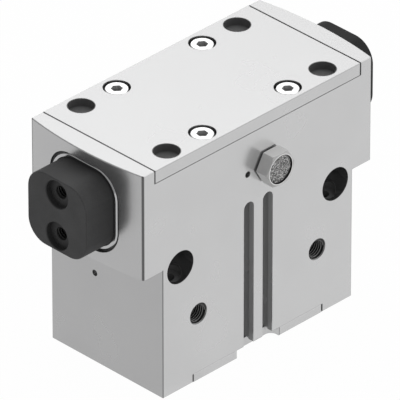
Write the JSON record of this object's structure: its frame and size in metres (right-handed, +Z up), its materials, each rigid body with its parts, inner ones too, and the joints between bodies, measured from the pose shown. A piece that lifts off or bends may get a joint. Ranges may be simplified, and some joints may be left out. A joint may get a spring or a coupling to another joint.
{
  "type": "pneumatic parallel gripper",
  "caption": "Pneumatic parallel gripper: aluminium housing with bulged upper ends, opposed dark slab jaws in sealing rings, screwed top cover, air ports, sensor slots and a hexagonal breather.",
  "frame": {"origin": "middle of the underside, on the piston's axis", "axes": "+X along the jaws' travel, -Y towards the face with the air ports, +Z up from the mounting face"},
  "size_m": [0.0924, 0.0398, 0.062],
  "materials": {
    "aluminium": "fine satin, clear anodised",
    "hard_coat": "black hard anodised, fine ground",
    "seal_rubber": "matt",
    "scraper_steel": "bright stainless, smooth",
    "screw_steel": "bright zinc plated",
    "steel": "ground",
    "nickelled_brass": "nickel plated",
    "sintered_metal": "coarse sintered grains",
    "bearing_bronze": "sintered bronze",
    "magnet": "plastic-bonded ferrite"
  },
  "bodies": {
    "body": {"housing": "aluminium", "top_cover": "aluminium", "cover_seal": "seal_rubber", "cover_screws": "screw_steel", "bottom_plate": "aluminium", "plate_seal": "seal_rubber", "plate_screws": "screw_steel", "jaw_seal_right": "seal_rubber", "jaw_seal_left": "seal_rubber", "jaw_scraper_right": "scraper_steel", "jaw_scraper_left": "scraper_steel", "rod_bushing": "bearing_bronze", "rod_seal": "seal_rubber", "rod_seal_ring": "steel", "channel_balls": "screw_steel", "filter_body": "nickelled_brass", "filter_disc": "sintered_metal", "filter_seal": "seal_rubber"},
    "drive": {"piston": "aluminium", "piston_seals": "seal_rubber", "piston_magnet": "magnet", "piston_rod": "steel", "piston_screw": "screw_steel", "wedge": "steel"},
    "left_jaw": {"jaw_left": "hard_coat"},
    "right_jaw": {"jaw_right": "hard_coat"}
  },
  "joints": [
    {"name": "piston_slide", "type": "slide", "parent": "body", "child": "drive", "axis": [0, 0, 1], "range_m": [0, 0.01]},
    {"name": "jaw_left_slide", "type": "slide", "parent": "body", "child": "left_jaw", "axis": [1, 0, 0], "range_m": [0, 0.006]},
    {"name": "jaw_right_slide", "type": "slide", "parent": "body", "child": "right_jaw", "axis": [-1, 0, 0], "range_m": [0, 0.006]}
  ],
  "couplings": [
    {"joint": "jaw_left_slide", "follows": "piston_slide", "ratio": 0.6},
    {"joint": "jaw_right_slide", "follows": "piston_slide", "ratio": 0.6}
  ]
}
